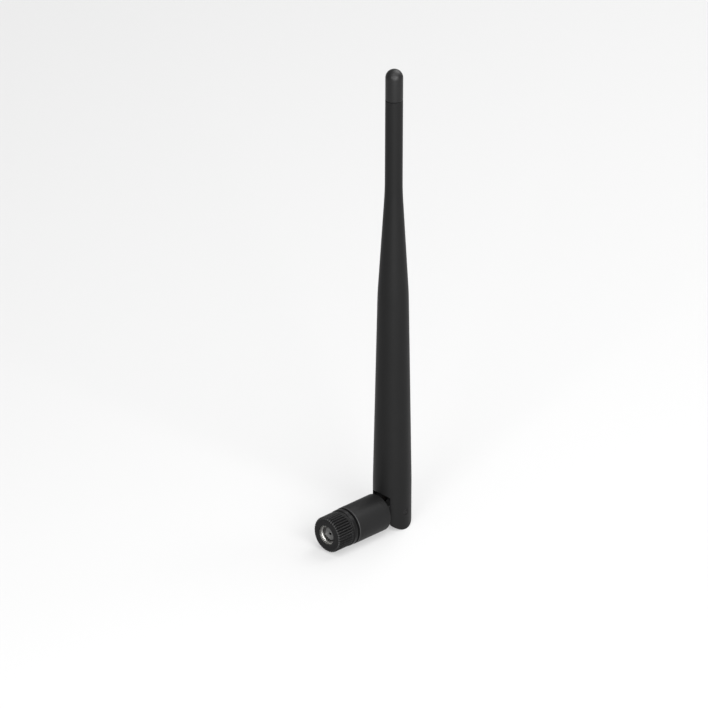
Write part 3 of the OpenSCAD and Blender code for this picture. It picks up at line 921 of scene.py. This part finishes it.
class ANTENNA_OT_nut(bpy.types.Operator):
    """Makes the coupling nut: ridged plastic grip and threaded metal insert"""

    bl_idname = "antenna.nut"
    bl_label = "Coupling Nut"
    bl_options = {"REGISTER", "UNDO"}

    def execute(self, context):
        size = context.scene.antenna_nut
        self.grip(size)
        self.insert(size)
        return {"FINISHED"}

    def grip(self, size):
        """Grip with round ridges whose grooves run out into the nose and the neck."""
        start, stop = span("knurled_sleeve", "Y")
        flange = reach("knurled_sleeve", "X")
        crest = flange - size.under
        pocket, pocket_start = reach("coupling_nut", "X"), low("coupling_nut", "Y")
        ridge_start, ridge_end = start + size.ridge_start, start + size.ridge_end
        chamfer, run = 0.2 * MM, 0.35 * MM
        neck = ridge_end + chamfer
        neck_end, flange_start = neck + 0.25 * MM, neck + 0.45 * MM
        rows = 24
        crests = [(crest, ridge_start + (ridge_end - ridge_start) * k / rows)
                  for k in range(1, rows)]

        def ridged(angle, radius, along):
            inside = min(along - ridge_start + run, ridge_end - along)
            if radius < size.nose + 0.1 * MM or inside <= 0:
                return radius
            wave = abs(math.cos(size.ridges * angle / 2)) ** 0.9
            return radius - size.groove * min(1.0, inside / run) * (1 - wave)

        outline = [
            (size.mouth, start, 0.1 * MM), (size.nose, start, 0.15 * MM),
            (crest - 0.25 * MM, ridge_start, 0.12 * MM), *crests, (crest, ridge_end, 0.12 * MM),
            (crest - size.under, neck, 0.1 * MM), (crest - size.under, neck_end, 0.1 * MM),
            (flange, flange_start, 0.12 * MM), (flange, stop, 0.2 * MM), (pocket, stop, 0.1 * MM),
            (pocket, pocket_start), (size.mouth, pocket_start),
        ]
        made = revolve("nut_grip", rounded(outline, closed=True), PLUG_AXIS,
                       steps=16 * size.ridges, warp=ridged)
        put(made, "nut", "grip_plastic", "knurled_sleeve")

    def insert(self, size):
        """Metal insert with a lead-in, a real thread and the snap ring's groove."""
        start, stop = span("coupling_nut", "Y")
        outer, mouth, neck = reach("coupling_nut", "X"), size.mouth, size.neck
        thread_start, thread_end = start + 1.1 * MM, start + 4.1 * MM
        relief, relief_end = 3.25 * MM, 4.3 * MM
        groove_start, groove_end = 4.98 * MM, 5.62 * MM
        rows, run = 84, 0.2 * MM
        crests = [(size.minor, thread_end + (thread_start - thread_end) * k / rows)
                  for k in range(rows + 1)]

        def threaded(angle, radius, along):
            inside = min(along - thread_start, thread_end - along)
            if abs(radius - size.minor) > HAIR or inside <= 0:
                return radius
            phase = (along / size.pitch - angle / FULL_TURN) % 1
            flank = max(0.0, min(1.0, 1.25 - 2.5 * abs(2 * phase - 1)))
            return radius + (size.major - size.minor) * flank * min(1.0, inside / run)

        outline = [
            (mouth, start), (outer, start, 0.1 * MM), (outer, stop, 0.15 * MM),
            (neck, stop, 0.1 * MM), (neck, groove_end), (size.ring_seat, groove_end),
            (size.ring_seat, groove_start), (neck, groove_start), (neck, relief_end),
            (relief, relief_end), (relief, thread_end + 0.02 * MM), *crests,
            (mouth - 0.1 * MM, thread_start - 0.02 * MM), (mouth, thread_start - 0.12 * MM),
        ]
        made = revolve("nut_insert", rounded(outline, closed=True), PLUG_AXIS, steps=180,
                       warp=threaded)
        put(made, "nut", "nickel_plating", "coupling_nut")


# ---- plug ----

class ANTENNA_OT_plug(bpy.types.Operator):
    """Makes the plug: body, insulator, contact, seals, snap ring and crimp ferrule"""

    bl_idname = "antenna.plug"
    bl_label = "Plug"
    bl_options = {"REGISTER", "UNDO"}

    def execute(self, context):
        size = context.scene.antenna_plug
        self.body(size)
        self.contact(size)
        for node, made_by, inner, slack, corner, slot in (
                ("plug_insulator", "turned", reach("socket_contact", "X"), 0.01, 0.05, "ptfe"),
                ("sealing_gasket", "moulded", size.seat + 0.02 * MM, 0, 0.2, "silicone")):
            made = ring(node + "_" + made_by, inner, reach(node, "X") - slack * MM,
                        *span(node, "Y"), PLUG_AXIS, corner * MM)
            put(made, "plug", slot, node)
        self.seal()
        self.snap_ring()
        self.ferrule(size)
        return {"FINISHED"}

    def body(self, size):
        """Turned body: sleeve, shoulder, ring groove, collar, tail with two grooves and stem."""
        neck, tail, collar = size.neck, size.tail, reach("plug_body", "X")
        ring_start, ring_end = 5.05 * MM, 5.55 * MM
        bead_start, bead_end = 9.6 * MM, 10.6 * MM
        seal_start, seal_end = 11.6 * MM, 12.7 * MM
        hollow_end = 6 * MM
        small, edge = 0.03 * MM, 0.08 * MM
        made = revolve("plug_turned", rounded([
            (size.hollow, 0, small), (size.sleeve, 0, 0.1 * MM), (size.sleeve, size.seat_start),
            (size.seat, size.seat_start, small), (size.seat, size.neck_start),
            (neck, size.neck_start, edge), (neck, ring_start, small),
            (size.ring_groove, ring_start), (size.ring_groove, ring_end),
            (neck, ring_end, small), (neck, size.collar_start),
            (collar, size.collar_start, edge), (collar, size.collar_end, edge),
            (tail, size.collar_end), (tail, bead_start, edge),
            (size.bead_groove, bead_start), (size.bead_groove, bead_end),
            (tail, bead_end, edge), (tail, seal_start, edge),
            (size.seal_groove, seal_start), (size.seal_groove, seal_end),
            (tail, seal_end, edge), (tail, size.tail_end, 0.25 * MM),
            (size.stem, size.tail_end), (size.stem, size.stem_end, edge),
            (size.stem_bore, size.stem_end, small), (size.stem_bore, hollow_end),
            (size.hollow, hollow_end),
        ], closed=True), PLUG_AXIS, steps=144)
        put(made, "plug", "dull_nickel", "plug_body")

    def contact(self, size):
        """Socket contact: lead-in, blind hole with a pointed end and a thin tail."""
        radius, hole, tail = reach("socket_contact", "X"), size.contact_hole, 0.45 * MM
        start, stop = span("socket_contact", "Y")
        hole_end, point, tail_start = 3.2 * MM, 3.4 * MM, 6 * MM
        lead, lead_depth = 0.08 * MM, 0.12 * MM
        made = revolve("socket_contact_turned", rounded([
            (0, point), (hole, hole_end), (hole, start + lead_depth, 0.05 * MM),
            (hole + lead, start, 0.02 * MM), (radius, start, 0.05 * MM),
            (radius, tail_start, 0.05 * MM), (tail, tail_start), (tail, stop, 0.1 * MM), (0, stop),
        ]), PLUG_AXIS, closed=False, steps=64)
        put(made, "plug", "dull_nickel", "socket_contact")

    def seal(self):
        """Rubber ring in the tail's groove."""
        wire = reach("swivel_o_ring", "Y")
        centre = reach("swivel_o_ring", "X") - wire
        middle = (low("swivel_o_ring", "Y") + high("swivel_o_ring", "Y")) / 2
        outline = [(point.x, point.y) for point in hoop(
            Vector((centre, middle)), wire, Vector((1, 0)), Vector((0, 1)), 24)]
        put(revolve("swivel_o_ring_moulded", outline, PLUG_AXIS), "plug", "rubber",
            "swivel_o_ring")

    def snap_ring(self):
        """Split spring ring."""
        start, stop = span("nut_snap_ring", "Y")
        inner, gap_half, gap_top = 2.4 * MM, 0.6 * MM, 5 * MM
        made = ring("nut_snap_ring_sprung", inner, reach("nut_snap_ring", "X"), start, stop,
                    PLUG_AXIS, 0.1 * MM)
        gap = skin("gap", [[Vector((x, y, z)) for y, z in (
            (start - MM, MM), (start - MM, gap_top), (stop + MM, gap_top), (stop + MM, MM))]
            for x in (-gap_half, gap_half)])
        carve(made, "DIFFERENCE", gap)
        tidy_normals(made)
        put(made, "plug", "spring_steel", "nut_snap_ring")

    def ferrule(self, size):
        """Crimped ferrule: its middle is pressed into six flats."""
        start, stop = span("crimp_ferrule", "Y")
        outer, inner = reach("crimp_ferrule", "X"), size.stem + 0.02 * MM
        mouth, step = reach("coax_lower", "X") + 0.02 * MM, size.stem_end + 0.1 * MM
        rows, press = 16, 0.6
        skin_rows = [(outer, start + (stop - start) * k / rows) for k in range(1, rows)]

        def crimped(angle, radius, along):
            if radius < outer - HAIR:
                return radius
            off_middle = abs((along - start) / (stop - start) - 0.5)
            depth = press * min(1.0, max(0.0, 2.2 - 4.4 * off_middle))
            turn = FULL_TURN / 12
            flat = math.cos(turn) / math.cos((angle + turn) % (2 * turn) - turn)
            return radius * (1 + depth * (min(1.0, flat) - 1))

        made = revolve("crimp_ferrule_pressed", rounded([
            (inner, start), (outer, start, 0.06 * MM), *skin_rows, (outer, stop, 0.06 * MM),
            (mouth, stop), (mouth, step), (inner, step),
        ], closed=True), PLUG_AXIS, steps=96, warp=crimped)
        put(made, "plug", "nickel_plating", "crimp_ferrule")


# ---- studio ----

# Each light's direction from the aim, and its size in metres.
LIGHTS = {
    "key": ((0, 0.6, 0.8), 0.7),
    "top": ((0.25, -0.25, 1), 0.6),
    "side": ((0.97, -0.26, 0.5), 0.5),
    "low": ((0.75, -0.65, 0.15), 0.4),
    "front": ((0.35, -0.74, 0.52), 0.25),
}


class ANTENNA_OT_studio(bpy.types.Operator):
    """Makes the camera, the pale floor and the soft lights"""

    bl_idname = "antenna.studio"
    bl_label = "Studio"
    bl_options = {"REGISTER", "UNDO"}

    def execute(self, context):
        scene = context.scene
        studio = scene.antenna_studio
        self.camera(scene, studio)
        self.floor(scene)
        for name, (direction, size) in LIGHTS.items():
            self.light(scene, name, Vector(direction), size)
        world = bpy.data.worlds.new("studio_air")
        tree = Tree(world)
        air = tree.node("ShaderNodeBackground", {},
                        {"Color": (1, 1, 1, 1), "Strength": studio.air})
        tree.node("ShaderNodeOutputWorld", {}, {"Surface": air})
        scene.world = world
        scene.view_settings.view_transform = "Standard"
        return {"FINISHED"}

    def camera(self, scene, studio):
        """Long-lens camera aimed past the hinge."""
        flat = math.cos(studio.elevation)
        away = Vector((flat * math.sin(studio.azimuth), -flat * math.cos(studio.azimuth),
                       math.sin(studio.elevation)))
        data = bpy.data.cameras.new("camera")
        data.lens = studio.lens
        data.sensor_width = 36.0
        data.clip_end = 50
        eye = bpy.data.objects.new("camera", data)
        eye.location = HINGE + Vector(studio.aim) + studio.distance * away
        aimed = (-away).to_track_quat("-Z", "Y").to_matrix()
        eye.rotation_euler = (aimed @ Matrix.Rotation(studio.roll, 3, "Z")).to_euler()
        scene.collection.objects.link(eye)
        scene.camera = eye

    def floor(self, scene):
        """Wide floor just under the lowest point."""
        half, level = 40.0, CAD_BOX[0][2] - 0.05 * MM
        corners = ((-half, -half), (half, -half), (half, half), (-half, half))
        mesh = bpy.data.meshes.new("floor")
        mesh.from_pydata([(x, y, level) for x, y in corners], [], [(0, 1, 2, 3)])
        mesh.materials.append(finish("studio_floor"))
        plane = bpy.data.objects.new("floor", mesh)
        scene.collection.objects.link(plane)

    def light(self, scene, name, direction, size):
        """Square soft light aimed at the antenna."""
        studio = scene.antenna_studio
        data = bpy.data.lights.new(name + "_light", "AREA")
        data.size = size
        data.energy = getattr(studio, name)
        lamp = bpy.data.objects.new(name + "_light", data)
        centre = HINGE + Vector(studio.aim)
        lamp.location = centre + studio.light_distance * direction.normalized()
        lamp.rotation_euler = (-direction).to_track_quat("-Z", "Y").to_euler()
        scene.collection.objects.link(lamp)


PIECES = ("studio", "radome", "tip_cap", "hinge_pins", "elbow", "nut", "plug", "cable", "radiator")


class ANTENNA_PT_panel(bpy.types.Panel):
    """Lists the antenna's pieces in the sidebar"""

    bl_idname = "ANTENNA_PT_panel"
    bl_label = "Antenna"
    bl_space_type = "VIEW_3D"
    bl_region_type = "UI"
    bl_category = "Antenna"

    def draw(self, context):
        for name in PIECES:
            self.layout.operator("antenna." + name)


SETTINGS = {
    "antenna_blade": BladeSettings,
    "antenna_elbow": ElbowSettings,
    "antenna_nut": NutSettings,
    "antenna_plug": PlugSettings,
    "antenna_finish": FinishSettings,
    "antenna_studio": StudioSettings,
}
CLASSES = (
    *SETTINGS.values(), ANTENNA_OT_studio, ANTENNA_OT_radome, ANTENNA_OT_tip_cap,
    ANTENNA_OT_hinge_pins, ANTENNA_OT_elbow, ANTENNA_OT_nut, ANTENNA_OT_plug, ANTENNA_OT_cable,
    ANTENNA_OT_radiator, ANTENNA_PT_panel,
)


def register():
    """Registers the classes and hangs their settings on the scene."""
    for cls in CLASSES:
        bpy.utils.register_class(cls)
    for name, group in SETTINGS.items():
        setattr(bpy.types.Scene, name, PointerProperty(type=group))


def unregister():
    """Removes the settings and the classes."""
    for name in SETTINGS:
        delattr(bpy.types.Scene, name)
    for cls in reversed(CLASSES):
        bpy.utils.unregister_class(cls)


def main():
    """Builds the antenna."""
    register()
    for name in PIECES:
        getattr(bpy.ops.antenna, name)()


if __name__ == "__main__":
    main()
